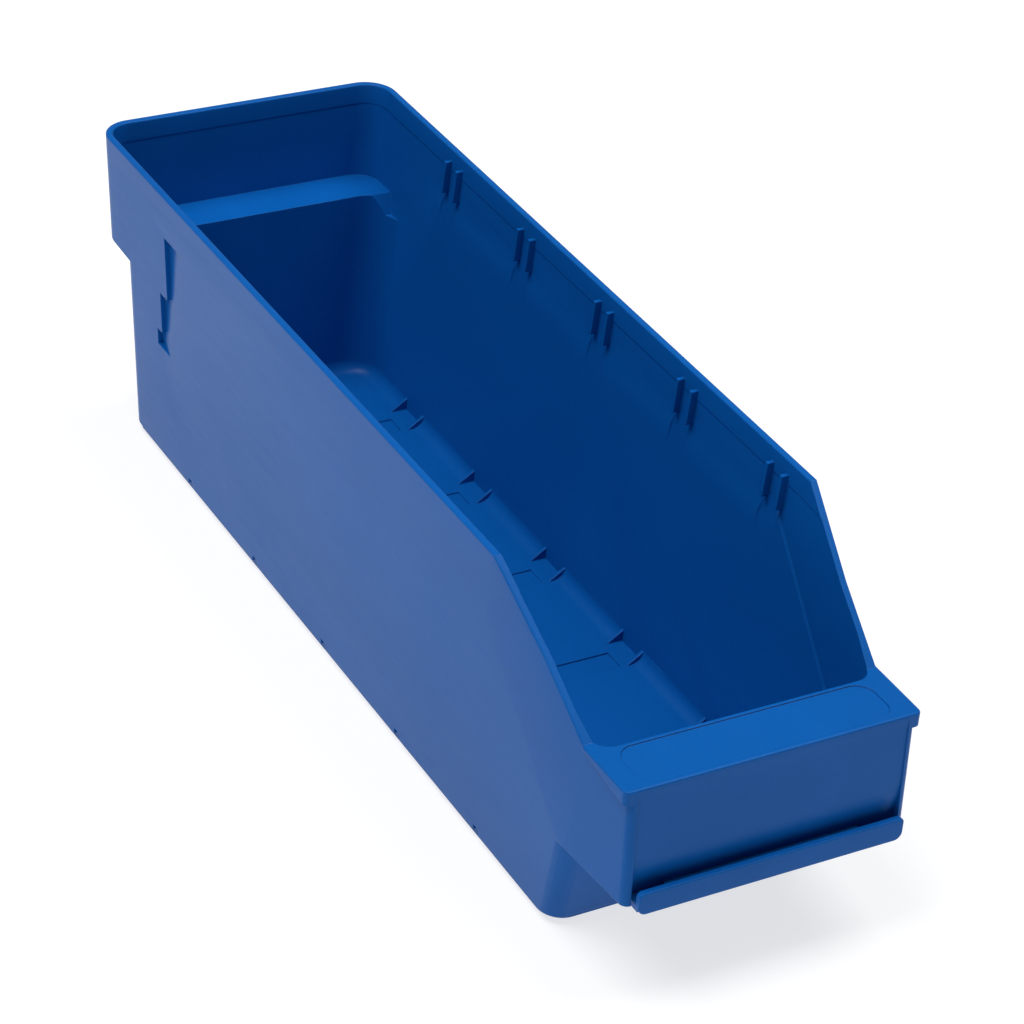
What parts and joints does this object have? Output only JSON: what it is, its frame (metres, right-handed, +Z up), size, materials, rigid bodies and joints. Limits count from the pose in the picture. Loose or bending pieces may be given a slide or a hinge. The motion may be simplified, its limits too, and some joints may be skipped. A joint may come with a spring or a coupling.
{
  "type": "storage bin",
  "caption": "Open-topped stackable shelf bin: tapering tub with low hollow nose and label rail in front, stepped rear band, stacking foot and guide ribs for cross dividers",
  "frame": {"origin": "centre of the footprint at the plane the stacking foot rests on", "axes": "+X to the right seen from the open front, +Y from the nose to the rear wall, +Z up"},
  "size_m": [0.0898, 0.3, 0.09],
  "materials": {
    "pp_blue": "smooth semi-gloss injection-moulded polypropylene, blue"
  },
  "bodies": {
    "root": {"floor_panel": "pp_blue", "stacking_foot": "pp_blue", "rear_wall": "pp_blue", "rear_step": "pp_blue", "rear_band": "pp_blue", "rim_rear": "pp_blue", "rear_corner_left": "pp_blue", "rear_corner_right": "pp_blue", "side_wall_left": "pp_blue", "side_wall_right": "pp_blue", "rim_left": "pp_blue", "rim_right": "pp_blue", "rim_slope_left": "pp_blue", "rim_slope_right": "pp_blue", "nose_cheek_left": "pp_blue", "nose_cheek_right": "pp_blue", "front_wall": "pp_blue", "nose_top_plate": "pp_blue", "nose_front_panel": "pp_blue", "cove_rear": "pp_blue", "cove_front": "pp_blue", "cove_left": "pp_blue", "cove_right": "pp_blue", "divider_ribs_left": "pp_blue", "divider_ribs_right": "pp_blue", "floor_gussets_left": "pp_blue", "floor_gussets_right": "pp_blue", "label_rail": "pp_blue"}
  },
  "joints": []
}
